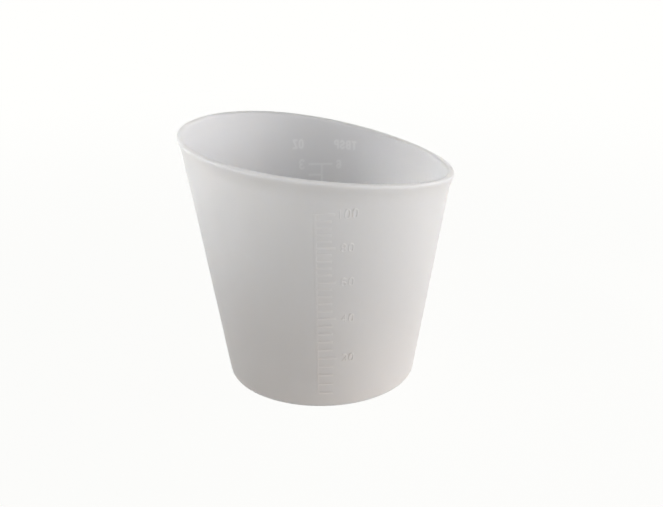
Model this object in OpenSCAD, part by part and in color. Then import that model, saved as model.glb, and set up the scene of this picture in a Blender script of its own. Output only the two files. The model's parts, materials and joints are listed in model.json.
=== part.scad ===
// Soft mixing cup with a slanted mouth and raised measuring scales
// Origin: centre of the flat underside. +Z is up, the front scale faces -Y, the mouth's high side is -X.

/* [Cup] */
// Outer diameter of the wall where it would meet the table, before the corner is rounded
base_d = 45.6; // [42:0.2:52]
// Outer diameter of the wall at the rim height
mouth_d = 64; // [60:0.2:72]
// Height of the rim on the cup's axis
rim_h = 56.8; // [52:0.2:70]
// Slant of the mouth, high on the -X side
mouth_slant = 8.6; // [0:0.1:12]
// Thickness of the wall
wall_t = 1.2; // [0.8:0.1:2]
// Thickness of the floor
floor_t = 1.8; // [1:0.1:3]
// Radius of the outer corner under the wall
corner_r = 1.9; // [0.5:0.1:3]
// Radius of the inner corner between floor and wall
inner_corner_r = 2.4; // [0.5:0.1:5]

/* [Lip] */
// How far the lip stands out from the wall, on average
lip_out = 0.65; // [0.4:0.05:1.5]
// Height of the lip's outer band
lip_h = 0.7; // [0.4:0.05:1.5]
// Shift of the lip towards the mouth's low side, so that it stands out more there
lip_shift = 0.2; // [0:0.05:0.4]

/* [Relief] */
// How far marks and numerals stand out from the wall
relief = 0.3; // [0.2:0.05:0.6]
// Width of a numeral's stroke
stroke_w = 0.36; // [0.25:0.01:0.5]
// Height of a tick mark
tick_h = 0.5; // [0.3:0.05:0.7]
// Width of a scale's upright line
spine_w = 0.6; // [0.4:0.05:1]

/* [Front scale] */
// Highest mark of the front scale, in millilitres
ml_top = 100; // [60:20:100]
// Millilitres from one mark to the next
ml_step = 4; // [2, 4, 5]
// Marks from one numeral to the next
ml_label_every = 5; // [5, 10]
// Turn of the front scale's line about the cup's axis, from the front
ml_turn = -2.4; // [-10:0.1:10]
// Length of a mark
ml_tick_l = 3.2; // [2:0.1:5]
// Length of a mark that has a numeral
ml_long_tick_l = 4; // [2:0.1:6]
// Gap between the long marks and the widest numeral
ml_label_gap = 0.4; // [0.2:0.05:2]
// Height of the front numerals
ml_digit_h = 2.2; // [1.6:0.1:3]

/* [Back scale] */
// Highest mark of the back scale, in fluid ounces
oz_top = 3; // [1:1:3]
// Turn of the back scale's line about the cup's axis, from the back
oz_turn = -1; // [-10:0.1:10]
// Length of a quarter ounce mark
oz_tick_l = 3.2; // [2:0.1:5]
// Length of a tablespoon mark
tbsp_tick_l = 2.5; // [1.5:0.1:4]
// Gap between the marks and their numerals, on both sides
back_label_gap = 1.3; // [0.2:0.05:2]
// Height of the ounce numerals
oz_digit_h = 2.6; // [1.6:0.1:3.2]
// Height of the tablespoon numerals
tbsp_digit_h = 2.2; // [1.6:0.1:3]
// Distance from the line to the middle of a unit mark
unit_x = 6.6; // [5:0.1:9]
// Height of the letters of a unit mark
unit_h = 2.2; // [1.6:0.1:3]
// Rise of the unit marks above the highest back mark
unit_rise = 5; // [3.5:0.1:6]

/* [Hidden] */
$fn = 96;

// Millilitres in a US fluid ounce and in a tablespoon, half of it, and cubic millimetres in a millilitre
oz_ml = 29.5735;
tbsp_ml = oz_ml / 2;
ml_mm3 = 1000;

// The wall is a cone: its outer radius grows by wall_slope for each millimetre of height
wall_slope = (mouth_d - base_d) / 2 / rim_h;
wall_cos = 1 / sqrt(1 + wall_slope * wall_slope);
// Level width of the wall
wall_w = wall_t / wall_cos;
function wall_r(z) = base_d / 2 + wall_slope * z;
function inner_r(z) = wall_r(z) - wall_w;

// The mouth is the cone's section by a tilted plane: nearly a circle, with its centre beside the axis
slant_drop = tan(mouth_slant);
high_r = wall_r(rim_h) / (1 - wall_slope * slant_drop);
low_r = wall_r(rim_h) / (1 + wall_slope * slant_drop);
high_z = rim_h + slant_drop * high_r;
mouth_r = ((high_r + low_r) / 2 / cos(mouth_slant) + wall_r(rim_h)) / 2;
mouth_cx = (low_r - high_r) / 2 / cos(mouth_slant) + lip_shift;
// Height to which the wall is drawn before the mouth is cut
tall_z = high_z + lip_out + wall_t;
cut_size = 2 * mouth_d;

// Radius and height of the level that a volume of liquid reaches in the inner cone
floor_r = inner_r(floor_t);
function level_r(ml) = pow(pow(floor_r, 3) + 3 * wall_slope * ml * ml_mm3 / PI, 1 / 3);
function level(ml) = floor_t + (level_r(ml) - floor_r) / wall_slope;
// Volume below a level, the inverse of level()
function volume(z) = PI * (pow(inner_r(z), 3) - pow(floor_r, 3)) / (3 * wall_slope * ml_mm3);

// Glyphs on a body 0.5 wide and 1 high: bars as x, y, x, y, and arcs as the centre's height, from and to
// An arc's centre is in the middle of the body, and its radius is bowl_r
glyph_w = 0.5;
bowl_r = 0.25;
function bars(c) =
    c == "0" || c == "O" ? [[0, 0.25, 0, 0.75], [0.5, 0.25, 0.5, 0.75]] :
    c == "1" ? [[0.3, 0, 0.3, 1], [0.08, 0.78, 0.3, 1]] :
    c == "2" ? [[0.467, 0.625, 0, 0], [0, 0, 0.5, 0]] :
    c == "4" ? [[0.4, 0, 0.4, 1], [0.4, 1, 0, 0.3], [0, 0.3, 0.55, 0.3]] :
    c == "5" ? [[0.47, 1, 0.07, 1], [0.07, 1, 0.07, 0.46]] :
    c == "6" ? [[0, 0.25, 0, 0.75]] :
    c == "7" ? [[0, 1, 0.5, 1], [0.5, 1, 0.15, 0]] :
    c == "9" ? [[0.5, 0.25, 0.5, 0.75]] :
    c == "T" ? [[0, 1, 0.5, 1], [0.25, 0, 0.25, 1]] :
    c == "B" ? [[0, 0, 0, 1], [0, 1, 0.25, 1], [0, 0.5, 0.25, 0.5], [0, 0, 0.25, 0]] :
    c == "P" ? [[0, 0, 0, 1], [0, 1, 0.25, 1], [0, 0.5, 0.25, 0.5]] :
    c == "Z" ? [[0, 1, 0.5, 1], [0.5, 1, 0, 0], [0, 0, 0.5, 0]] : [];
function arcs(c) =
    c == "0" || c == "O" ? [[0.75, 0, 180], [0.25, 180, 360]] :
    c == "2" ? [[0.75, -30, 170]] :
    c == "3" ? [[0.75, -90, 150], [0.25, -150, 90]] :
    c == "5" ? [[0.25, -150, 135]] :
    c == "6" ? [[0.25, 0, 360], [0.75, 20, 180]] :
    c == "8" ? [[0.25, 0, 360], [0.75, 0, 360]] :
    c == "9" ? [[0.75, 0, 360], [0.25, -160, 0]] :
    c == "B" ? [[0.25, -90, 90], [0.75, -90, 90]] :
    c == "P" ? [[0.75, -90, 90]] :
    c == "S" ? [[0.75, 20, 270], [0.25, -160, 90]] : [];
// From one character to the next, as a share of the height
glyph_pitch = 0.76;
// Width of a label with a number of characters
function label_w(count, height) = (count - 1) * glyph_pitch * height + glyph_w * (height - stroke_w) + stroke_w;

// Unit marks of the back scale
oz_word = "OZ";
tbsp_word = "TBSP";
back_turn = 180 + oz_turn;

// Distances from a scale's line to the middle and to the far end of its numerals and unit marks
ml_label_w = label_w(len(str(ml_top)), ml_digit_h);
ml_label_x = spine_w / 2 + ml_long_tick_l + ml_label_gap + ml_label_w / 2;
oz_label_x = spine_w / 2 + oz_tick_l + back_label_gap + label_w(1, oz_digit_h) / 2;
tbsp_label_x = spine_w / 2 + tbsp_tick_l + back_label_gap + label_w(1, tbsp_digit_h) / 2;
ml_reach = ml_label_x + ml_label_w / 2;
unit_reach = unit_x + label_w(len(tbsp_word), unit_h) / 2;

// Room between the highest label and the lip's lower edge, which drops towards +X
label_gap = 0.6;
function label_limit(reach) = rim_h - slant_drop * reach - lip_h - lip_out - label_gap;
// Highest marks that the cup has room for
ml_last = ml_step * floor(min(ml_top, volume(label_limit(ml_reach) - ml_digit_h / 2)) / ml_step);
oz_last = floor(min(oz_top, volume(label_limit(unit_reach) - unit_h / 2 - unit_rise) / oz_ml));
unit_z = level(oz_last * oz_ml) + unit_rise;
// Volumes between numerals and between ounce marks
ml_label_step = ml_step * ml_label_every;
quarter_ml = oz_ml / 4;
// Lowest and highest ends of the scales' lines
ml_span = [level(ml_step) - tick_h / 2, level(ml_last) + tick_h / 2];
oz_span = [level(quarter_ml) - tick_h / 2, level(oz_last * oz_ml) + tick_h / 2];

// Flat shape of a cup body: a cone's half section with a rounded lower corner
module cup_section(r0, z0, z1, corner) {
    corner_x = r0 - corner * (1 / wall_cos - wall_slope);
    tangent = [corner_x + corner * wall_cos, z0 + corner * (1 - wall_slope * wall_cos)];
    polygon([[0, z0], [corner_x, z0], tangent, [r0 + wall_slope * (z1 - z0), z1], [0, z1]]);
    translate([corner_x, z0 + corner]) circle(r = corner);
}

// Places its children in the mouth's plane
module at_mouth() {
    translate([0, 0, rim_h]) rotate([0, mouth_slant, 0]) children();
}

// Lip round the mouth: a band with a sloping underside that runs into the wall
module lip_ring() {
    inside = mouth_r - wall_t / 2;
    outside = mouth_r + lip_out;
    rotate_extrude() polygon([
        [inside, wall_t],
        [outside, wall_t],
        [outside, -lip_h],
        [mouth_r, -lip_h - lip_out],
        [inside, -lip_h - lip_out]
    ]);
}

module cup() {
    color("gainsboro")
    difference() {
        union() {
            rotate_extrude() cup_section(base_d / 2, 0, tall_z, corner_r);
            at_mouth() translate([mouth_cx, 0, 0]) lip_ring();
        }
        rotate_extrude() cup_section(inner_r(floor_t), floor_t, tall_z + wall_t, inner_corner_r);
        at_mouth() translate([-cut_size / 2, -cut_size / 2, 0]) cube(cut_size);
    }
}

// Degrees round the cup that a length takes at a height
function turn_of(length, z) = length / wall_r(z) * 180 / PI;
// Degrees that a scale's line takes, as wide as spine_w at its middle height
function line_turn(span) = turn_of(spine_w, (span[0] + span[1]) / 2);

// Raised band on the wall between two heights, over a length that starts at a turn from -Y
module band(z0, z1, turn, sweep) {
    rotate([0, 0, turn - 90]) rotate_extrude(angle = sweep) polygon([
        [wall_r(z0), z0],
        [wall_r(z0) + relief, z0],
        [wall_r(z1) + relief, z1],
        [wall_r(z1), z1]
    ]);
}

// One mark that starts at the edge of its scale's line and runs to the line's right (1) or left (-1)
module tick(z, turn, length, side, span) {
    sweep = turn_of(length, z);
    middle = side * (line_turn(span) + sweep) / 2;
    band(z - tick_h / 2, z + tick_h / 2, turn + middle - sweep / 2, sweep);
}

// Upright line of a scale
module spine(span, turn) {
    band(span[0], span[1], turn - line_turn(span) / 2, line_turn(span));
}

module bar(x0, y0, x1, y1, depth) {
    run = norm([x1 - x0, y1 - y0]);
    translate([x0, y0, 0]) rotate([0, 0, atan2(y1 - y0, x1 - x0)])
        translate([-stroke_w / 2, -stroke_w / 2, 0]) cube([run + stroke_w, stroke_w, depth]);
}

module arc(x, y, r, from, to, depth) {
    translate([x, y, 0]) rotate([0, 0, from]) rotate_extrude(angle = to - from)
        translate([r - stroke_w / 2, 0]) square([stroke_w, depth]);
}

// One character, centred, standing up from the XY plane
module glyph(c, height, depth) {
    h = height - stroke_w;
    translate([-glyph_w * h / 2, -h / 2, 0]) {
        for (b = bars(c)) bar(b[0] * h, b[1] * h, b[2] * h, b[3] * h, depth);
        for (a = arcs(c)) arc(bowl_r * h, a[0] * h, bowl_r * h, a[1], a[2], depth);
    }
}

// A word's characters, each turned to face out of the wall at its own place
module label(word, z, turn, x, height) {
    pitch = glyph_pitch * height;
    sink = relief + wall_t;
    for (i = [0 : len(word) - 1]) {
        along = x + (i - (len(word) - 1) / 2) * pitch;
        rotate([0, 0, turn - 90 + turn_of(along, z)])
            translate([wall_r(z) - sink / 2, 0, z])
            rotate([90, 0, 90])
            glyph(word[i], height, sink + 2 * relief);
    }
}

// Keeps what lies within the relief's depth on the wall
module on_wall(z0, z1) {
    intersection() {
        rotate_extrude() polygon([
            [wall_r(z0), z0],
            [wall_r(z0) + relief, z0],
            [wall_r(z1) + relief, z1],
            [wall_r(z1), z1]
        ]);
        children();
    }
}

module ml_spine() {
    color("whitesmoke") spine(ml_span, ml_turn);
}

module ml_ticks() {
    color("whitesmoke")
    for (ml = [ml_step : ml_step : ml_last])
        tick(level(ml), ml_turn, ml % ml_label_step == 0 ? ml_long_tick_l : ml_tick_l, 1, ml_span);
}

module ml_numerals() {
    color("whitesmoke") on_wall(level(ml_label_step) - ml_digit_h, level(ml_last) + ml_digit_h)
        for (ml = [ml_label_step : ml_label_step : ml_last])
            label(str(ml), level(ml), ml_turn, ml_label_x, ml_digit_h);
}

module back_spine() {
    color("whitesmoke") spine(oz_span, back_turn);
}

module oz_ticks() {
    color("whitesmoke")
    for (q = [1 : 4 * oz_last])
        tick(level(q * quarter_ml), back_turn, oz_tick_l, 1, oz_span);
}

module oz_numerals() {
    color("whitesmoke") on_wall(level(oz_ml) - oz_digit_h, level(oz_last * oz_ml) + oz_digit_h)
        for (oz = [1 : oz_last]) label(str(oz), level(oz * oz_ml), back_turn, oz_label_x, oz_digit_h);
}

module oz_mark() {
    color("whitesmoke") on_wall(unit_z - unit_h, unit_z + unit_h)
        label(oz_word, unit_z, back_turn, unit_x, unit_h);
}

module tbsp_ticks() {
    color("whitesmoke")
    for (n = [1 : 2 * oz_last])
        tick(level(n * tbsp_ml), back_turn, tbsp_tick_l, -1, oz_span);
}

module tbsp_numerals() {
    color("whitesmoke") on_wall(level(tbsp_ml) - tbsp_digit_h, level(oz_last * oz_ml) + tbsp_digit_h)
        for (n = [1 : 2 * oz_last]) label(str(n), level(n * tbsp_ml), back_turn, -tbsp_label_x, tbsp_digit_h);
}

module tbsp_mark() {
    color("whitesmoke") on_wall(unit_z - unit_h, unit_z + unit_h)
        label(tbsp_word, unit_z, back_turn, -unit_x, unit_h);
}

cup();
ml_spine();
ml_ticks();
ml_numerals();
back_spine();
oz_ticks();
oz_numerals();
oz_mark();
tbsp_ticks();
tbsp_numerals();
tbsp_mark();
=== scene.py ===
import json
import math

import bmesh
import bpy
import numpy as np
from mathutils import Matrix, Vector

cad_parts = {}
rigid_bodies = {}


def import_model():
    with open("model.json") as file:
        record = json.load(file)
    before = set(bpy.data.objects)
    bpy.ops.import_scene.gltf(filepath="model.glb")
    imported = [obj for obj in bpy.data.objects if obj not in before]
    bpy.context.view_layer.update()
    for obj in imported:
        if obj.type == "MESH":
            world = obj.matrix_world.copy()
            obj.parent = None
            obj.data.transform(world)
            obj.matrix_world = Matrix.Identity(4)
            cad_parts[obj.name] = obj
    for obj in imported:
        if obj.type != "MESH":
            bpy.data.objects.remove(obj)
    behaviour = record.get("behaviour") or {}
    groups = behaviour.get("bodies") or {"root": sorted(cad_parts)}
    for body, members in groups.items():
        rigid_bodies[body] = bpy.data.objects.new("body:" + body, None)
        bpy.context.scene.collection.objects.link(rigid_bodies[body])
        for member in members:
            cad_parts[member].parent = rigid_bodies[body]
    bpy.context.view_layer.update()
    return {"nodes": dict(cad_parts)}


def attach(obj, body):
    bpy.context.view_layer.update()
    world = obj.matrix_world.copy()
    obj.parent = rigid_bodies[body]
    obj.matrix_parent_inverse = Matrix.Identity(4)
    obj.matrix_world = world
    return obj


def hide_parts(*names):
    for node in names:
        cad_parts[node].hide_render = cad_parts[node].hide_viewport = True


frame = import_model()
mm = 0.001
print("frame loaded:", len(frame["nodes"]), "CAD nodes")


# camera: straight in front and about 20 degrees up, set so that the cup sits as in the photo
cameraSetup = {
    "target": (0, 0, 30 * mm),
    "distance": 235.84 * mm,
    "elevation": 0.3461,     # radians above the horizon
    "roll": -0.0112,
    "lens": 52.27,
    "shift": (0.016, 0.0011),
}


def addCamera(setup):
    away = Vector((0, -math.cos(setup["elevation"]), math.sin(setup["elevation"])))
    bpy.ops.object.select_all(action="DESELECT")
    bpy.ops.object.camera_add(location=Vector(setup["target"]) + away * setup["distance"])
    camera = bpy.context.object
    camera.name = "photoCamera"
    tilt = Matrix.Rotation(math.pi / 2 - setup["elevation"], 4, "X")
    camera.rotation_euler = (tilt @ Matrix.Rotation(setup["roll"], 4, "Z")).to_euler()
    camera.data.sensor_width = 36
    camera.data.lens = setup["lens"]
    camera.data.shift_x, camera.data.shift_y = setup["shift"]
    camera.data.clip_start = 0.01
    camera.data.clip_end = 20
    bpy.context.scene.camera = camera


addCamera(cameraSetup)
print("camera placed")


# the cup's body, all lengths in metres
cupSizes = {
    "baseRadius": 22.8 * mm,      # of the wall carried down to the table
    "mouthRadius": 32 * mm,       # of the wall at the rim height
    "rimHeight": 56.8 * mm,
    "mouthSlant": math.radians(8.6),
    "wall": 1.2 * mm,
    "floor": 1.8 * mm,
    "outerCorner": 1.9 * mm,
    "innerCorner": 2.4 * mm,
    "collar": 4.6 * mm,           # below the mouth, where the wall's level rings end
    "collarRings": 12,            # slanted rings on the inside of the collar, for the painted show-through light
    "lastRing": 1.5 * mm,         # depth of the last of them
    "lipUnder": 3.0 * mm,         # depth at which the lip's underside leaves the wall
    "lipOut": 0.57 * mm,          # how far it stands out
    "lipBand": 0.72 * mm,         # height of its outer edge
    "lipShift": 0.2 * mm,         # its middle, moved towards the low side
    "topRound": 0.42 * mm,        # rounding of its four edges
    "innerRound": 0.6 * mm,
    "bandRound": 0.27 * mm,
    "underRound": 1.4 * mm,
    "droop": 0.67 * mm,           # the soft mouth's saddle, down at two ends and up between
    "droopTurn": math.radians(24),
    "droopFrom": 46 * mm,         # heights between which it grows to its full size
    "droopTo": 52 * mm,
    "cageHalf": 34 * mm,          # the cage that bends it
    "cageShare": 2.27,            # how far the cage's points go for 1 at the rim
}
wallSlope = (cupSizes["mouthRadius"] - cupSizes["baseRadius"]) / cupSizes["rimHeight"]
wallTilt = math.atan(wallSlope)
wallLevel = cupSizes["wall"] / math.cos(wallTilt)
slant = cupSizes["mouthSlant"]
mouthUp = Vector((math.sin(slant), 0, math.cos(slant)))
mouthMiddle = Vector((0, 0, cupSizes["rimHeight"]))


def outerRadius(z):
    return cupSizes["baseRadius"] + wallSlope * z


def innerRadius(z):
    return outerRadius(z) - wallLevel


# scales: levels follow the volume under them in the inner cone
floorRadius = innerRadius(cupSizes["floor"])


def levelOf(ml):
    radius = (floorRadius ** 3 + 3 * wallSlope * ml * 1e-6 / math.pi) ** (1 / 3)
    return cupSizes["floor"] + (radius - floorRadius) / wallSlope


scaleSizes = {
    "relief": 0.3 * mm,
    "sunk": 0.1 * mm,             # how deep the marks' feet stand in the wall
    "stroke": 0.36 * mm,
    "tickHeight": 0.5 * mm,
    "lineWidth": 0.6 * mm,
    "markRound": 0.13 * mm,
    "tickSeat": 1.2,              # how many roundings a mark's end stands in its line
    "pitch": 0.76,                # from character to character, as a share of the height
    "letterVoxel": 0.055 * mm,
}
ounceMl = 29.5735
frontScale = {
    "turn": math.radians(-92.4),
    "marks": [(ml, 4.0 * mm if ml % 20 == 0 else 3.2 * mm) for ml in range(4, 101, 4)],
    "numerals": [(str(ml), levelOf(ml)) for ml in range(20, 101, 20)],
    "numeralX": 6.9 * mm,
    "numeralHeight": 2.2 * mm,
}
backScale = {
    "turn": math.radians(89),
    "ounceMarks": [(quarter * ounceMl / 4, 3.2 * mm) for quarter in range(1, 13)],
    "spoonMarks": [(spoon * ounceMl / 2, 2.5 * mm) for spoon in range(1, 7)],
    "ounceNumerals": [(str(ounce), levelOf(ounce * ounceMl)) for ounce in range(1, 4)],
    "spoonNumerals": [(str(spoon), levelOf(spoon * ounceMl / 2)) for spoon in range(1, 7)],
    "ounceX": 5.54 * mm,
    "spoonX": -4.74 * mm,
    "ounceHeight": 2.6 * mm,
    "spoonHeight": 2.2 * mm,
    "unitX": 6.6 * mm,
    "unitHeight": 2.2 * mm,
    "unitLevel": levelOf(3 * ounceMl) + 5 * mm,
}

# characters as centre lines on a body half as wide as it is high:
# straight ones as x, y to x, y, and arcs as height, from, to
bowl = 0.25
sides = [(0, 0.25, 0, 0.75), (0.5, 0.25, 0.5, 0.75)]
glyphLines = {
    "0": sides,
    "O": sides,
    "1": [(0.3, 0, 0.3, 1), (0.08, 0.78, 0.3, 1)],
    "2": [(0.467, 0.625, 0, 0), (0, 0, 0.5, 0)],
    "4": [(0.4, 0, 0.4, 1), (0.4, 1, 0, 0.3), (0, 0.3, 0.55, 0.3)],
    "5": [(0.47, 1, 0.07, 1), (0.07, 1, 0.07, 0.46)],
    "6": [(0, 0.25, 0, 0.75)],
    "T": [(0, 1, 0.5, 1), (0.25, 0, 0.25, 1)],
    "B": [(0, 0, 0, 1), (0, 1, 0.25, 1), (0, 0.5, 0.25, 0.5), (0, 0, 0.25, 0)],
    "P": [(0, 0, 0, 1), (0, 1, 0.25, 1), (0, 0.5, 0.25, 0.5)],
    "Z": [(0, 1, 0.5, 1), (0.5, 1, 0, 0), (0, 0, 0.5, 0)],
}
glyphArcs = {
    "0": [(0.75, 0, 180), (0.25, 180, 360)],
    "O": [(0.75, 0, 180), (0.25, 180, 360)],
    "2": [(0.75, -30, 170)],
    "3": [(0.75, -90, 150), (0.25, -150, 90)],
    "5": [(0.25, -150, 135)],
    "6": [(0.25, 0, 360), (0.75, 20, 180)],
    "8": [(0.25, 0, 360), (0.75, 0, 360)],
    "B": [(0.25, -90, 90), (0.75, -90, 90)],
    "P": [(0.75, -90, 90)],
    "S": [(0.75, 20, 270), (0.25, -160, 90)],
}


def glyphStrokes(character, height):
    # centre lines of one character, centred, as lists of (x, y)
    body = height - scaleSizes["stroke"]
    strokes = []
    for x0, y0, x1, y1 in glyphLines.get(character, []):
        strokes.append([(x0, y0), (x1, y1)])
    for middle, start, end in glyphArcs.get(character, []):
        steps = max(4, round(abs(end - start) / 20))
        turns = [math.radians(start + (end - start) * i / steps) for i in range(steps + 1)]
        strokes.append([(bowl + bowl * math.cos(t), middle + bowl * math.sin(t)) for t in turns])
    return [[((x - 0.25) * body, (y - 0.5) * body) for x, y in stroke] for stroke in strokes]


def turnOf(length, z):
    return length / outerRadius(z)


def labelPlaces(word, x, height):
    # each character of a word with its distance from the scale's line
    pitch = scaleSizes["pitch"] * height
    return [(c, x + (i - (len(word) - 1) / 2) * pitch) for i, c in enumerate(word)]


# edit mode helpers
def deselectObjects():
    bpy.ops.object.select_all(action="DESELECT")


def startLine(name, points, turn=0.0):
    # one vertex extruded from point to point (radius, height) in the upright plane at a turn
    across = Vector((math.cos(turn), math.sin(turn), 0))
    path = [across * r + Vector((0, 0, z)) for r, z in points]
    deselectObjects()
    bpy.ops.mesh.primitive_plane_add(size=0.1 * mm)
    piece = bpy.context.object
    piece.name = name
    bpy.ops.object.mode_set(mode="EDIT")
    bpy.ops.mesh.select_mode(type="VERT")
    bpy.ops.mesh.select_all(action="SELECT")
    bpy.ops.mesh.merge(type="CENTER")
    bpy.ops.transform.translate(value=path[0])
    for here, there in zip(path, path[1:]):
        bpy.ops.mesh.extrude_region_move(TRANSFORM_OT_translate={"value": there - here})
    return piece


def sweep(steps, angle):
    # the spin operator turns clockwise seen from above, so the angle's sign is changed
    bpy.ops.mesh.spin(steps=steps, angle=-angle, center=(0, 0, 0), axis=(0, 0, 1))


def selectEdges(piece, test):
    # picks the edges for which the test on both ends holds
    bpy.ops.mesh.select_mode(type="EDGE")
    bpy.ops.mesh.select_all(action="DESELECT")
    shape = bmesh.from_edit_mesh(piece.data)
    for edge in shape.edges:
        if test(edge, edge.verts[0].co) and test(edge, edge.verts[1].co):
            edge.select_set(True)
    shape.select_flush_mode()
    bmesh.update_edit_mesh(piece.data)


def finishEdit():
    bpy.ops.mesh.select_all(action="SELECT")
    bpy.ops.mesh.normals_make_consistent(inside=False)
    bpy.ops.object.mode_set(mode="OBJECT")
    bpy.ops.object.shade_smooth()


def applyModifier(piece, kind, **settings):
    deselectObjects()
    piece.select_set(True)
    bpy.context.view_layer.objects.active = piece
    modifier = piece.modifiers.new(kind.lower(), kind)
    for key, value in settings.items():
        setattr(modifier, key, value)
    bpy.ops.object.modifier_apply(modifier=modifier.name)


# the section: underside, rounded corner, wall, then down the inside,
# with close rings where the marks' painted light shows through
sectionRings = {
    "disc": 8 * mm,               # radius of a ring on the underside and one on the floor
    "cornerLead": 0.5 * mm,       # flat margin before a rounded corner
    "outerHeights": [z * mm for z in range(5, 62, 4)],
    "spare": 7 * mm,              # drawn past the rim and cut off with the mouth
    "innerTop": 58 * mm,
    "closeFrom": 7 * mm,
    "closeTo": 53 * mm,
    "closeStep": 0.27 * mm,
}
# degrees and steps of each sweep, from just left of the front scale
firstTurn = math.radians(-94)
sectors = [(22, 44), (141, 56), (42, 84), (155, 62)]


def cornerArc(radius, z, corner, steps):
    middle = radius - corner * (1 / math.cos(wallTilt) - wallSlope)
    turns = [-math.pi / 2 + (math.pi / 2 - wallTilt) * i / steps for i in range(steps + 1)]
    return [(middle + corner * math.cos(t), z + corner + corner * math.sin(t)) for t in turns]


def cupSection():
    rings, floor = sectionRings, cupSizes["floor"]
    disc, lead = rings["disc"], rings["cornerLead"]
    tall = cupSizes["rimHeight"] + rings["spare"]
    outer = cornerArc(outerRadius(0), 0, cupSizes["outerCorner"], 8)
    inner = cornerArc(floorRadius, floor, cupSizes["innerCorner"], 8)
    points = [(0, 0), (disc, 0), (outer[0][0] - lead, 0)] + outer
    points += [(outerRadius(z), z) for z in rings["outerHeights"] + [tall]]
    points += [(innerRadius(z), z) for z in (tall, rings["innerTop"])]
    closeTall = rings["closeTo"] - rings["closeFrom"]
    count = round(closeTall / rings["closeStep"])
    for i in range(count + 1):
        z = rings["closeTo"] - closeTall * i / count
        points.append((innerRadius(z), z))
    points += inner[::-1]
    return points + [(inner[0][0] - lead, floor), (disc, floor), (0, floor)]


def isOuter(co):
    return math.hypot(co.x, co.y) > (outerRadius(co.z) + innerRadius(co.z)) / 2


def raiseOpening(piece, outer, fromDepth, toDepth):
    # extrudes one of the two open edges along its cone, to a plane nearer the mouth's
    selectEdges(piece, lambda edge, co: edge.is_boundary and isOuter(co) == outer)
    shift = 0 if outer else wallLevel
    apex = Vector((0, 0, -(cupSizes["baseRadius"] - shift) / wallSlope))
    reach = (mouthMiddle - apex).dot(mouthUp)
    grow = (reach - toDepth) / (reach - fromDepth)
    bpy.ops.mesh.extrude_edges_move()
    bpy.ops.transform.resize(value=(grow,) * 3, center_override=apex)


def turnAll(angle):
    # with no window transform.rotate turns the other way, so the angle's sign is changed
    bpy.ops.mesh.select_all(action="SELECT")
    bpy.ops.transform.rotate(value=-angle, orient_axis="Y", center_override=mouthMiddle)


def wallEllipse(depth):
    # the wall's section by a plane below the mouth's: centre and half axes in the mouth's plane
    level = cupSizes["rimHeight"] - depth / math.cos(slant)
    radius = outerRadius(level)
    high = radius / (1 - wallSlope * math.tan(slant))
    low = radius / (1 + wallSlope * math.tan(slant))
    along = (high + low) / 2 / math.cos(slant)
    middle = (low - high) / 2 / math.cos(slant)
    middle += depth * math.tan(slant)       # the axis crosses that plane beside the mouth's middle
    return middle, along, math.sqrt(high * low)


def bevelLip(cup, depth, reaches, offset, segments):
    # rounds the level edges at a depth below the mouth whose distance from the axis passes the test
    def atLip(edge, co):
        low, high = sorted(vert.co.z for vert in edge.verts)
        atDepth = abs(co.z - cupSizes["rimHeight"] + depth) < 0.02 * mm
        return high - low < 0.01 * mm and atDepth and reaches(co)
    selectEdges(cup, atLip)
    bpy.ops.mesh.bevel(offset=offset, segments=segments, affect="EDGES", clamp_overlap=False)


def makeCup():
    cup = startLine("cup_body", cupSection(), firstTurn)
    bpy.ops.mesh.select_all(action="SELECT")
    for degrees, steps in sectors:
        sweep(steps, math.radians(degrees))
    bpy.ops.mesh.select_all(action="SELECT")
    bpy.ops.mesh.remove_doubles(threshold=0.001 * mm)
    # the slanted mouth: cut below it, then raised along both cones to its plane
    collar = cupSizes["collar"]
    bpy.ops.mesh.select_all(action="SELECT")
    bpy.ops.mesh.bisect(plane_co=mouthMiddle - mouthUp * collar, plane_no=mouthUp,
                        clear_outer=True, threshold=1e-7)
    bpy.ops.mesh.select_all(action="SELECT")
    bpy.ops.mesh.remove_doubles(threshold=0.002 * mm)
    count = cupSizes["collarRings"]
    depths = [collar + (cupSizes["lastRing"] - collar) * i / count for i in range(count + 1)] + [0]
    for here, there in zip(depths, depths[1:]):
        raiseOpening(cup, False, here, there)
    raiseOpening(cup, True, collar, cupSizes["lipUnder"])
    # the lip, drawn with the mouth turned level
    turnAll(-slant)
    underDepth, bandHeight = cupSizes["lipUnder"], cupSizes["lipBand"]
    middle, along, side = wallEllipse(underDepth)
    mouth = wallEllipse(0)
    lipRadius = (mouth[1] + cupSizes["mouthRadius"]) / 2 + cupSizes["lipOut"]
    lipMiddle = mouth[0] + cupSizes["lipShift"]
    selectEdges(cup, lambda edge, co: edge.is_boundary and co.z < mouthMiddle.z - 0.5 * mm)
    bpy.ops.mesh.extrude_edges_move()
    bpy.ops.transform.resize(value=(lipRadius / along, lipRadius / side, 1),
                             center_override=(middle, 0, mouthMiddle.z))
    bpy.ops.transform.translate(value=(lipMiddle - middle, 0, underDepth - bandHeight))
    bpy.ops.mesh.extrude_edges_move(TRANSFORM_OT_translate={"value": (0, 0, bandHeight)})
    selectEdges(cup, lambda edge, co: edge.is_boundary)
    bpy.ops.mesh.bridge_edge_loops()

    # soft edges: the top's two, then the band's lower one and the flare's foot
    def across(co):
        return math.hypot(co.x - lipMiddle, co.y)

    nearLip = lipRadius - 0.05 * mm
    inLip = lipRadius - cupSizes["wall"]
    foot = lipRadius - 2 * mm
    bevelLip(cup, 0, lambda co: across(co) > nearLip, cupSizes["topRound"], 4)
    bevelLip(cup, 0, lambda co: across(co) < inLip, cupSizes["innerRound"], 5)
    bevelLip(cup, bandHeight, lambda co: across(co) > nearLip, cupSizes["bandRound"], 4)
    bevelLip(cup, underDepth, lambda co: across(co) > foot, cupSizes["underRound"], 5)
    turnAll(slant)
    finishEdit()
    return cup


cup = makeCup()
print("cup body:", len(cup.data.polygons), "faces")
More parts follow.
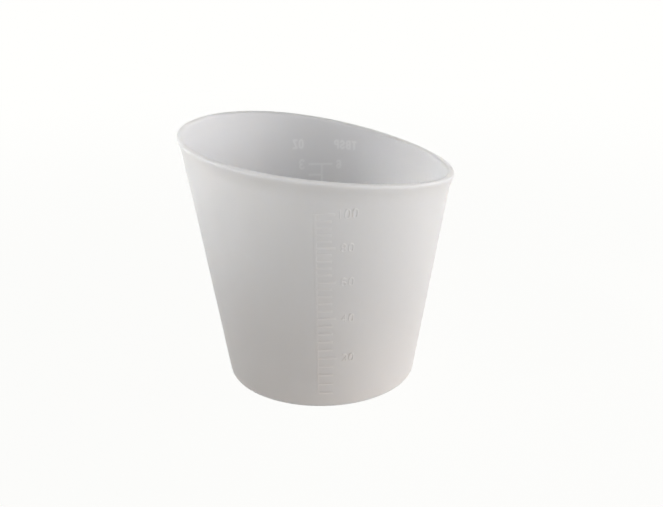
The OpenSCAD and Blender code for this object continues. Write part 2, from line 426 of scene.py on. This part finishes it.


# painted light: where a mark's faint light shows through, the wall's other side is painted lighter
paintedShowThrough = {
    "halfTurn": math.radians(26),    # how far round from a scale's line it is looked for
    "above": 5 * mm,
    "wallShare": 0.6,                # how deep in the wall a point counts as inside
    "core": 0.4,                     # in half strokes: full within this distance,
    "fade": 1.7,                     # and gone this much further out
}


def wordsOf(numerals, x, height):
    return [(text, z, x, height) for text, z in numerals]


def strokesOnWall(scale):
    # every mark's centre line as (distance along the wall from the scale's line, height)
    lines = []
    if scale is frontScale:
        rows = [(levelOf(ml), length, 1) for ml, length in scale["marks"]]
        words = wordsOf(scale["numerals"], scale["numeralX"], scale["numeralHeight"])
    else:
        rows = [(levelOf(ml), length, 1) for ml, length in scale["ounceMarks"]]
        rows += [(levelOf(ml), length, -1) for ml, length in scale["spoonMarks"]]
        words = wordsOf(scale["ounceNumerals"], scale["ounceX"], scale["ounceHeight"])
        words += wordsOf(scale["spoonNumerals"], scale["spoonX"], scale["spoonHeight"])
        words.append(("OZ", scale["unitLevel"], scale["unitX"], scale["unitHeight"]))
        words.append(("TBSP", scale["unitLevel"], -scale["unitX"], scale["unitHeight"]))
    levels = [z for z, length, side in rows]
    lines.append([(0, min(levels)), (0, max(levels))])
    for z, length, side in rows:
        lines.append([(0, z), (side * (length + scaleSizes["lineWidth"] / 2), z)])
    for text, z, x, height in words:
        for character, along in labelPlaces(text, x, height):
            for stroke in glyphStrokes(character, height):
                lines.append([(along + dx, z + dz) for dx, dz in stroke])
    return lines


def markShowThrough(cup):
    # a point attribute for painted light on the inside of the wall: 1 behind a mark, fading to 0
    # beside it
    co = np.empty(len(cup.data.vertices) * 3)
    cup.data.vertices.foreach_get("co", co)
    co = co.reshape(-1, 3)
    across = np.hypot(co[:, 0], co[:, 1])
    z = co[:, 2]
    outer = outerRadius(z)
    inside = (across < outer - paintedShowThrough["wallShare"] * wallLevel) & (z > paintedShowThrough["above"])
    nearest = np.full(len(co), 1.0)
    for scale in (frontScale, backScale):
        turn = (np.arctan2(co[:, 1], co[:, 0]) - scale["turn"] + math.pi) % (2 * math.pi) - math.pi
        near = np.flatnonzero((np.abs(turn) < paintedShowThrough["halfTurn"]) & inside)
        points = np.stack([turn[near] * outer[near], z[near]], 1)
        best = np.full(len(near), 1.0)
        for line in strokesOnWall(scale):
            for a, b in zip(line, line[1:]):
                a, b = np.array(a), np.array(b)
                run = b - a
                share = np.clip((points - a) @ run / max(run @ run, 1e-12), 0, 1)
                best = np.minimum(best, np.linalg.norm(points - a - share[:, None] * run, axis=1))
        nearest[near] = np.minimum(nearest[near], best)
    edge = scaleSizes["stroke"] / 2
    mask = np.clip(1 - (nearest / edge - paintedShowThrough["core"]) / paintedShowThrough["fade"], 0, 1)
    layer = cup.data.attributes.new("paintedShowThrough", "FLOAT", "POINT")
    layer.data.foreach_set("value", mask.astype(np.float32))
    layer = cup.data.attributes.new("inside", "FLOAT", "POINT")
    depth = np.clip((outer - across) / wallLevel, 0, 1)
    layer.data.foreach_set("value", depth.astype(np.float32))


markShowThrough(cup)


# raised marks: each kind is swept round the wall once, then copied to its levels
def wallBand(name, low, high, turn, steps):
    # a band on the wall between two heights, as wide as a turn, centred on the +X side
    foot, top = -scaleSizes["sunk"], scaleSizes["relief"]
    corners = [(outerRadius(low) + foot, low), (outerRadius(low) + top, low),
               (outerRadius(high) + top, high), (outerRadius(high) + foot, high)]
    piece = startLine(name, corners, -turn / 2)
    bpy.ops.mesh.select_all(action="SELECT")
    bpy.ops.mesh.edge_face_add()
    sweep(steps, turn)
    finishEdit()
    applyModifier(piece, "BEVEL", width=scaleSizes["markRound"], segments=3, limit_method="ANGLE",
                  angle_limit=math.radians(40))
    return piece


def standAt(turn, z, level=0.0):
    # from the +X side at a level to a place on the wall
    out = outerRadius(z) - outerRadius(level)
    return Matrix.Rotation(turn, 4, "Z") @ Matrix.Translation((out, 0, z - level))


def copyTo(piece, places, name):
    # copies with their own meshes, joined into one piece
    copies = []
    for place in places:
        copy = piece.copy()
        copy.data = piece.data.copy()
        copy.data.transform(place)
        bpy.context.collection.objects.link(copy)
        copies.append(copy)
    return joinAll(copies, name)


def joinAll(parts, name):
    deselectObjects()
    for part in parts:
        part.select_set(True)
    bpy.context.view_layer.objects.active = parts[0]
    if len(parts) > 1:
        bpy.ops.object.join()
    parts[0].name = name
    return parts[0]


def lineTurn(levels):
    return turnOf(scaleSizes["lineWidth"], (levels[0] + levels[-1]) / 2)


def makeLine(name, scale, levels):
    half = scaleSizes["tickHeight"] / 2
    piece = wallBand(name, levels[0] - half, levels[-1] + half, lineTurn(levels), 2)
    piece.data.transform(Matrix.Rotation(scale["turn"], 4, "Z"))
    return piece


def makeTicks(name, scale, rows, side, levels):
    half = scaleSizes["tickHeight"] / 2
    rounded = scaleSizes["markRound"] * scaleSizes["tickSeat"]
    ticks = []
    for length in sorted({length for z, length in rows}):
        middle = levels[len(levels) // 2]
        master = wallBand("tick", middle - half, middle + half, turnOf(length + rounded, middle), 6)
        places = []
        for z, wanted in rows:
            if wanted == length:
                turn = lineTurn(levels) / 2 + turnOf(length - rounded, z) / 2
                places.append(standAt(scale["turn"] + side * turn, z, middle))
        ticks.append(copyTo(master, places, name))
        bpy.data.objects.remove(master)
    return joinAll(ticks, name)


glyphShapes = {}


def glyphShape(character, height):
    # one character with soft strokes, flat on the XY plane, made once for each size
    key = character, height
    if key in glyphShapes:
        return glyphShapes[key]
    half = scaleSizes["stroke"] / 2
    deselectObjects()
    curve = bpy.data.curves.new("stroke", "CURVE")
    curve.dimensions = "3D"
    curve.bevel_depth = half
    curve.bevel_resolution = 3
    curve.use_fill_caps = True
    for stroke in glyphStrokes(character, height):
        closed = math.dist(stroke[0], stroke[-1]) < 0.01 * mm
        points = stroke[:-1] if closed else stroke
        spline = curve.splines.new("POLY")
        spline.points.add(len(points) - 1)
        spline.use_cyclic_u = closed
        for point, (x, y) in zip(spline.points, points):
            point.co = (x, y, 0, 1)
    shape = bpy.data.objects.new("glyph", curve)
    bpy.context.collection.objects.link(shape)
    shape.select_set(True)
    bpy.context.view_layer.objects.active = shape
    bpy.ops.object.convert(target="MESH")
    shape = bpy.context.object
    applyModifier(shape, "REMESH", mode="VOXEL", voxel_size=scaleSizes["letterVoxel"],
                  use_smooth_shade=True)
    applyModifier(shape, "SMOOTH", factor=0.5, iterations=4)
    # the strokes are as high as the relief over the wall and end a little under its surface
    bpy.ops.object.mode_set(mode="EDIT")
    bpy.ops.mesh.select_all(action="SELECT")
    bpy.ops.transform.resize(value=(1, 1, scaleSizes["relief"] / half), center_override=(0, 0, 0))
    bpy.ops.mesh.bisect(plane_co=(0, 0, -scaleSizes["sunk"]), plane_no=(0, 0, 1), use_fill=True,
                        clear_inner=True, threshold=1e-7)
    finishEdit()
    glyphShapes[key] = shape
    return shape


def makeWords(name, scale, words):
    # words as (text, height of their middle, distance from the line, character height)
    up = Vector((math.sin(wallTilt), 0, math.cos(wallTilt)))
    out = Vector((math.cos(wallTilt), 0, -math.sin(wallTilt)))
    lay = Matrix.Identity(4)
    for row in range(3):
        lay[row][0], lay[row][1], lay[row][2] = (0, 1, 0)[row], up[row], out[row]
    letters = []
    for text, z, x, height in words:
        for character, along in labelPlaces(text, x, height):
            letter = glyphShape(character, height).copy()
            letter.data = letter.data.copy()
            onWall = Matrix.Translation((outerRadius(z), 0, z)) @ lay
            turned = Matrix.Rotation(scale["turn"] + turnOf(along, z), 4, "Z")
            letter.data.transform(turned @ onWall)
            bpy.context.collection.objects.link(letter)
            letters.append(letter)
    return joinAll(letters, name)


frontLevels = [levelOf(ml) for ml, length in frontScale["marks"]]
backLevels = [levelOf(ml) for ml, length in backScale["ounceMarks"]]
frontRows = [(levelOf(ml), length) for ml, length in frontScale["marks"]]
ounceRows = [(levelOf(ml), length) for ml, length in backScale["ounceMarks"]]
spoonRows = [(levelOf(ml), length) for ml, length in backScale["spoonMarks"]]
unit = backScale["unitX"], backScale["unitHeight"], backScale["unitLevel"]
marks = {
    "ml_spine": makeLine("ml_line", frontScale, frontLevels),
    "ml_ticks": makeTicks("ml_marks", frontScale, frontRows, 1, frontLevels),
    "ml_numerals": makeWords("ml_numbers", frontScale, wordsOf(
        frontScale["numerals"], frontScale["numeralX"], frontScale["numeralHeight"])),
    "back_spine": makeLine("back_line", backScale, backLevels),
    "oz_ticks": makeTicks("oz_marks", backScale, ounceRows, 1, backLevels),
    "oz_numerals": makeWords("oz_numbers", backScale, wordsOf(
        backScale["ounceNumerals"], backScale["ounceX"], backScale["ounceHeight"])),
    "oz_mark": makeWords("oz_letters", backScale, [("OZ", unit[2], unit[0], unit[1])]),
    "tbsp_ticks": makeTicks("tbsp_marks", backScale, spoonRows, -1, backLevels),
    "tbsp_numerals": makeWords("tbsp_numbers", backScale, wordsOf(
        backScale["spoonNumerals"], backScale["spoonX"], backScale["spoonHeight"])),
    "tbsp_mark": makeWords("tbsp_letters", backScale, [("TBSP", unit[2], -unit[0], unit[1])]),
}
for shape in glyphShapes.values():
    bpy.data.objects.remove(shape)
print("marks:", len(marks), "pieces,", sum(len(m.data.polygons) for m in marks.values()), "faces")


# the soft mouth droops at two ends and rises at the other two; the marks follow the wall
def warpMouth(pieces):
    deselectObjects()
    low, high = cupSizes["droopFrom"], cupSizes["droopTo"]
    bpy.ops.object.add(type="LATTICE", location=(0, 0, (low + high) / 2),
                       rotation=(0, 0, cupSizes["droopTurn"]))
    cage = bpy.context.object
    cage.scale = (2 * cupSizes["cageHalf"], 2 * cupSizes["cageHalf"], high - low)
    cage.data.points_u = cage.data.points_v = 3
    cage.data.points_w = 2
    cage.data.interpolation_type_u = cage.data.interpolation_type_v = "KEY_BSPLINE"
    cage.data.interpolation_type_w = "KEY_LINEAR"
    turned = Matrix.Rotation(-cupSizes["droopTurn"], 3, "Z") @ mouthUp
    # the middles of the upper layer's four sides, in a cage of 3 x 3 x 2 points
    for index, direction in ((12, -1), (14, -1), (10, 1), (16, 1)):
        step = turned * (direction * cupSizes["cageShare"] * cupSizes["droop"])
        point = cage.data.points[index]
        point.co_deform = point.co + Vector([step[i] / cage.scale[i] for i in range(3)])
    bpy.context.view_layer.update()
    for piece in pieces:
        applyModifier(piece, "LATTICE", object=cage)
    bpy.data.objects.remove(cage)


warpMouth([cup, *marks.values()])
print("mouth warped")

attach(cup, "root")
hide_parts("cup")
for node, mark in marks.items():
    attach(mark, "root")
    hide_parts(node)


# materials: one wrapped socket, so that shader maths reads as sums
class Wire:
    def __init__(self, tree, socket=None):
        self.tree = tree
        self.socket = socket

    def node(self, kind, settings=None, values=None, output=0):
        made = self.tree.nodes.new(kind)
        for key, value in (settings or {}).items():
            setattr(made, key, value)
        for key, value in (values or {}).items():
            if isinstance(value, Wire):
                self.tree.links.new(value.socket, made.inputs[key])
            else:
                made.inputs[key].default_value = value
        return Wire(self.tree, made.outputs[output] if len(made.outputs) else None)

    def maths(self, operation, *values):
        return self.node("ShaderNodeMath", {"operation": operation}, dict(enumerate(values)))

    def __add__(self, other):
        return self.maths("ADD", self, other)

    def __sub__(self, other):
        return self.maths("SUBTRACT", self, other)

    def __rsub__(self, other):
        return self.maths("SUBTRACT", other, self)

    def __mul__(self, other):
        return self.maths("MULTIPLY", self, other)

    def __truediv__(self, other):
        return self.maths("DIVIDE", self, other)

    def __rtruediv__(self, other):
        return self.maths("DIVIDE", other, self)

    __radd__ = __add__
    __rmul__ = __mul__

    def between(self, low, high):
        # 0 at low, 1 at high, eased
        return self.node("ShaderNodeMapRange", {"interpolation_type": "SMOOTHSTEP"},
                         {"Value": self, "From Min": low, "From Max": high})

    def blend(self, factor, first, second, kind="MIX"):
        settings = {"data_type": "RGBA", "blend_type": kind}
        first, second = [c if isinstance(c, Wire) else (*c, 1) for c in (first, second)]
        return self.node("ShaderNodeMix", settings, {0: factor, 6: first, 7: second}, 2)

    def noise(self, place, scale, detail=2.0, rough=0.5):
        values = {"Vector": place, "Scale": scale, "Detail": detail, "Roughness": rough}
        return self.node("ShaderNodeTexNoise", {}, values, "Fac")


def newMaterial(name):
    material = bpy.data.materials.new(name)
    material.use_nodes = True
    material.node_tree.nodes.clear()
    return material, Wire(material.node_tree)


def giveMaterial(piece, material):
    piece.data.materials.clear()
    piece.data.materials.append(material)


siliconeLook = {
    "body": (0.807, 0.797, 0.789),
    "low": (0.795, 0.755, 0.727),       # painted shade and warm bounce light: darker and warmer towards the bottom, up to this height
    "lowShadeTo": 50 * mm,
    "inner": (0.752, 0.754, 0.762),     # painted shade: a little cooler and darker on the inside, and painted light makes it lighter deep inside
    "deep": (0.80, 0.80, 0.806),
    "deepFrom": 56 * mm,
    "deepTo": 40 * mm,
    "shownMarkLight": (0.90, 0.905, 0.91),   # painted light where a mark shows through the wall
    "shownShare": 0.8,
    "tickPaintedLight": (1.04, 1.075),       # painted light: a mark's tone in the wall's, high up and low down
    "linePaintedLight": (1.015, 1.02),       # the same for the scales' upright lines
    "wordPaintedLight": (1.055, 1.065),
    "markEven": 0.63,                   # how far light from within evens out a mark's shading
    "cloudSize": 14 * mm,
    "streakLong": 0.12,                 # less is longer
    "grainSize": 0.22 * mm,
    "tone": 0.972,                      # the darkest, and what each pattern adds to it
    "cloudTone": 0.03,
    "streakTone": 0.014,
    "grainTone": 0.012,
    "roughness": 0.46,
    "grainRough": 0.1,
    "cloudRough": 0.06,
    "bumpStrength": 0.25,
    "bumpDepth": 0.03 * mm,
    "lightReach": 2.6 * mm,
    "markReach": 0.04 * mm,
    "scatter": (1.0, 0.96, 0.9),
    "refraction": 1.41,
}


def siliconeMaterial(name, look, lighter=None):
    material, wire = newMaterial(name)
    place = wire.node("ShaderNodeTexCoord", output="Object")
    x, y, height = [wire.node("ShaderNodeSeparateXYZ", {}, {"Vector": place}, axis)
                    for axis in "XYZ"]
    # cloudy milkiness, and streaks along the flow of the moulding
    cloud = wire.noise(place, 1 / look["cloudSize"], 3)
    stretched = wire.node("ShaderNodeMapping", {},
                          {"Vector": place, "Scale": (1, 1, look["streakLong"])})
    streak = wire.noise(stretched, 3 / look["cloudSize"], 2)
    grain = wire.noise(place, 1 / look["grainSize"], 3, 0.6)
    # painted shade: the colour grows darker and warmer towards the bottom, and the marks' painted
    # light follows the same gradient
    low = 1 - height.between(0, look["lowShadeTo"])
    colour = wire.blend(low, look["body"], look["low"])
    tone = look["tone"] + look["cloudTone"] * cloud + look["streakTone"] * streak
    tone = tone + look["grainTone"] * grain
    if lighter:
        # a raised mark, made lighter than the wall by painted light; the cup's own body has an
        # inside with painted shade and light, and painted light where marks show through
        tone = tone * (lighter[0] + (lighter[1] - lighter[0]) * low)
    else:
        # painted shade on the inside of the wall, cooler and darker near the mouth, and painted
        # light deeper down
        inside = wire.node("ShaderNodeAttribute", {"attribute_name": "inside"}, {}, "Fac")
        deep = 1 - height.between(look["deepTo"], look["deepFrom"])
        colour = wire.blend(inside, colour, wire.blend(deep, look["inner"], look["deep"]))
        # painted light: the inner wall is lighter behind the marks on the outside
        shown = wire.node("ShaderNodeAttribute", {"attribute_name": "paintedShowThrough"}, {}, "Fac")
        colour = wire.blend(shown * look["shownShare"], colour, look["shownMarkLight"])
    tint = wire.node("ShaderNodeCombineColor", {}, {0: tone, 1: tone, 2: tone})
    colour = wire.blend(1.0, colour, tint, "MULTIPLY")
    roughness = look["roughness"] + look["grainRough"] * (grain - 0.5)
    roughness = roughness + look["cloudRough"] * (cloud - 0.5)
    relief = 0.6 * grain + 0.4 * wire.noise(place, 0.3 / look["grainSize"], 2)
    bumps = {"Height": relief, "Strength": look["bumpStrength"], "Distance": look["bumpDepth"]}
    if lighter:
        # a mark's normal is turned towards the wall's own
        across = wire.maths("SQRT", x * x + y * y)
        out = wire.node("ShaderNodeCombineXYZ", {}, {0: x / across, 1: y / across, 2: -wallSlope})
        own = wire.node("ShaderNodeNewGeometry", output="Normal")
        mixed = wire.node("ShaderNodeMix", {"data_type": "VECTOR"},
                          {0: look["markEven"], 4: own, 5: out}, 1)
        bumps["Normal"] = wire.node("ShaderNodeVectorMath", {"operation": "NORMALIZE"}, {0: mixed})
    bump = wire.node("ShaderNodeBump", {}, bumps)
    values = {
        "Base Color": colour,
        "Roughness": roughness,
        "Normal": bump,
        "IOR": look["refraction"],
        "Subsurface Weight": 1.0,
        "Subsurface Radius": look["scatter"],
        "Subsurface Scale": look["markReach"] if lighter else look["lightReach"],
    }
    shader = wire.node("ShaderNodeBsdfPrincipled", {"subsurface_method": "RANDOM_WALK"}, values)
    wire.node("ShaderNodeOutputMaterial", {}, {"Surface": shader})
    return material


cupSilicone = siliconeMaterial("frostedSilicone", siliconeLook)
# the marks are lighter copies of the silicone: painted light on each kind
markSilicones = {
    "ticks": siliconeMaterial("raisedTickSilicone", siliconeLook, siliconeLook["tickPaintedLight"]),
    "spine": siliconeMaterial("raisedLineSilicone", siliconeLook, siliconeLook["linePaintedLight"]),
    "word": siliconeMaterial("raisedWordSilicone", siliconeLook, siliconeLook["wordPaintedLight"]),
}
giveMaterial(cup, cupSilicone)
for node, mark in marks.items():
    kind = node.split("_")[1]
    giveMaterial(mark, markSilicones.get(kind, markSilicones["word"]))
    mark.visible_shadow = False     # one moulding: a mark puts no shade on the wall under it
print("materials made")


# stage: a pale floor that runs into a white studio
studio = {
    "floorSize": 4.0,
    "floorLevel": -0.05 * mm,    # a hair under the cup, so that the two faces don't flicker
    "floorColour": (0.86, 0.86, 0.85),
    "white": (1.0, 1.0, 0.985),
    "floorGlow": 0.96,       # share of the floor that the camera sees as plain white
    "fade": (0.08, 0.4),     # metres from the cup between which that share grows to 1
}
# each light: degrees to the right of the camera, degrees up, metres from the cup, size, power;
# the four beams are narrow: one along the wall's high side, one on its rim, two into the mouth
rightTint = (1, 0.98, 0.978)
studioLights = {
    "front": {"turn": 0, "up": 20, "away": 0.75, "size": 0.5, "power": 1.36},
    "rightFront": {"turn": 60, "up": 12, "away": 0.75, "size": 0.5, "power": 1.72,
                   "colour": rightTint},
    "rightSide": {"turn": 90, "up": 15, "away": 0.75, "size": 0.5, "power": 2.28,
                  "colour": rightTint},
    "rightBehind": {"turn": 135, "up": 20, "away": 0.75, "size": 0.5, "power": 1.4},
    "leftSide": {"turn": -90, "up": 20, "away": 0.75, "size": 0.5, "power": 1.45},
    "leftBeam": {"turn": -84, "up": 10, "away": 0.3, "size": 0.06, "power": 0.0047,
                 "spread": 22, "aim": (-15 * mm, 0, 64 * mm)},
    "rimBeam": {"turn": -90, "up": 62, "away": 0.3, "size": 0.03, "power": 0.001,
                "spread": 8, "aim": (-29 * mm, 3 * mm, 60 * mm)},
    "mouthFront": {"turn": -60, "up": 45, "away": 0.3, "size": 0.05, "power": 0.004,
                   "spread": 14, "aim": (30 * mm, 3 * mm, 50 * mm)},
    "mouthSide": {"turn": -90, "up": 38, "away": 0.3, "size": 0.05, "power": 0.0015,
                  "spread": 14, "aim": (28 * mm, -8 * mm, 49 * mm)},
}


def seenDirectly(wire):
    # what the camera, a mirror-like surface or clear material sees
    rays = [wire.node("ShaderNodeLightPath", output=kind)
            for kind in ("Is Camera Ray", "Is Glossy Ray", "Is Transmission Ray")]
    return wire.maths("MAXIMUM", wire.maths("MAXIMUM", rays[0], rays[1]), rays[2])


def addFloor(look):
    deselectObjects()
    bpy.ops.mesh.primitive_grid_add(x_subdivisions=8, y_subdivisions=8, size=look["floorSize"],
                                    location=(0, 0, look["floorLevel"]))
    floor = bpy.context.object
    floor.name = "studioFloor"
    material, wire = newMaterial("studioFloor")
    bare = wire.node("ShaderNodeBsdfDiffuse", {}, {"Color": (*look["floorColour"], 1)})
    glow = wire.node("ShaderNodeEmission", {}, {"Color": (*look["white"], 1), "Strength": 1.0})
    place = wire.node("ShaderNodeTexCoord", output="Object")
    away = wire.node("ShaderNodeVectorMath", {"operation": "LENGTH"}, {0: place}, "Value")
    share = look["floorGlow"] + (1 - look["floorGlow"]) * away.between(*look["fade"])
    mixed = wire.node("ShaderNodeMixShader", {}, {0: seenDirectly(wire) * share, 1: bare, 2: glow})
    wire.node("ShaderNodeOutputMaterial", {}, {"Surface": mixed})
    giveMaterial(floor, material)


def lightWorld(look):
    # white where it is seen, and no light of its own on the cup
    world = bpy.data.worlds.new("studioWorld")
    bpy.context.scene.world = world
    world.use_nodes = True
    world.node_tree.nodes.clear()
    wire = Wire(world.node_tree)
    white = wire.node("ShaderNodeBackground", {},
                      {"Color": (*look["white"], 1), "Strength": seenDirectly(wire)})
    wire.node("ShaderNodeOutputWorld", {}, {"Surface": white})


def addLights(lights):
    middle = Vector(cameraSetup["target"])
    for name, light in lights.items():
        deselectObjects()
        turn, up = math.radians(light["turn"]), math.radians(light["up"])
        way = Vector((math.sin(turn) * math.cos(up), -math.cos(turn) * math.cos(up), math.sin(up)))
        bpy.ops.object.light_add(type="AREA", location=middle + way * light["away"])
        lamp = bpy.context.object
        lamp.name = name
        lamp.data.size = light["size"]
        lamp.data.energy = light["power"]
        lamp.data.color = light.get("colour", (1, 1, 1))
        lamp.data.spread = math.radians(light.get("spread", 180))
        aim = Vector(light.get("aim", middle)) - lamp.location
        lamp.rotation_euler = aim.to_track_quat("-Z", "Y").to_euler()


addFloor(studio)
lightWorld(studio)
addLights(studioLights)
bpy.context.scene.view_settings.view_transform = "Standard"
print("stage and lights placed")
